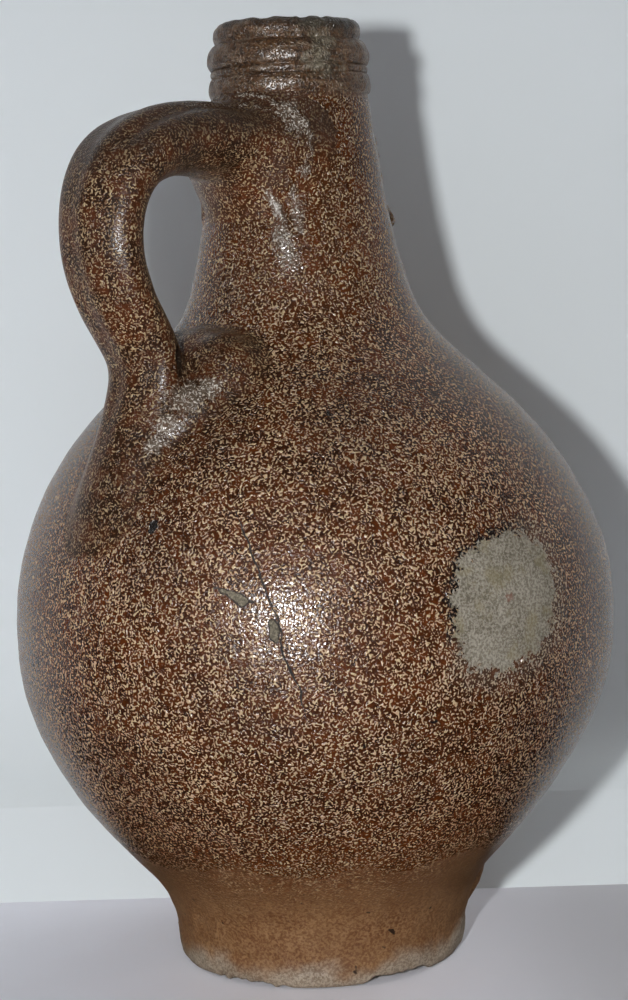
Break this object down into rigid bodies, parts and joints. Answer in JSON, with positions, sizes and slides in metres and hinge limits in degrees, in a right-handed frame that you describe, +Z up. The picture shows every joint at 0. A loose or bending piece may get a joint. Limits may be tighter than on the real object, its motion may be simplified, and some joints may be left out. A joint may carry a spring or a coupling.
{
  "type": "bartmann jug",
  "caption": "Round-bellied stoneware bottle jug with narrow banded neck, strap handle, clay pressed round the handle roots and a bearded face mask on the neck.",
  "frame": {"origin": "centre of the flat foot, on the surface that the jug stands on", "axes": "+Z up along the turning axis, +Y towards the handle, -Y towards the bearded mask"},
  "size_m": [0.1456, 0.1456, 0.2258],
  "materials": {
    "salt_glazed_body": "mottled brown salt glaze with a fine orange-peel surface",
    "salt_glazed_handle": "mottled brown salt glaze, a little glossier where it pooled",
    "salt_glazed_mask": "mottled brown salt glaze, darker in the hollows"
  },
  "bodies": {
    "root": {"thrown_body": "salt_glazed_body", "strap_handle": "salt_glazed_handle", "upper_handle_wad": "salt_glazed_handle", "lower_handle_wad": "salt_glazed_handle", "bearded_mask": "salt_glazed_mask"}
  },
  "joints": []
}
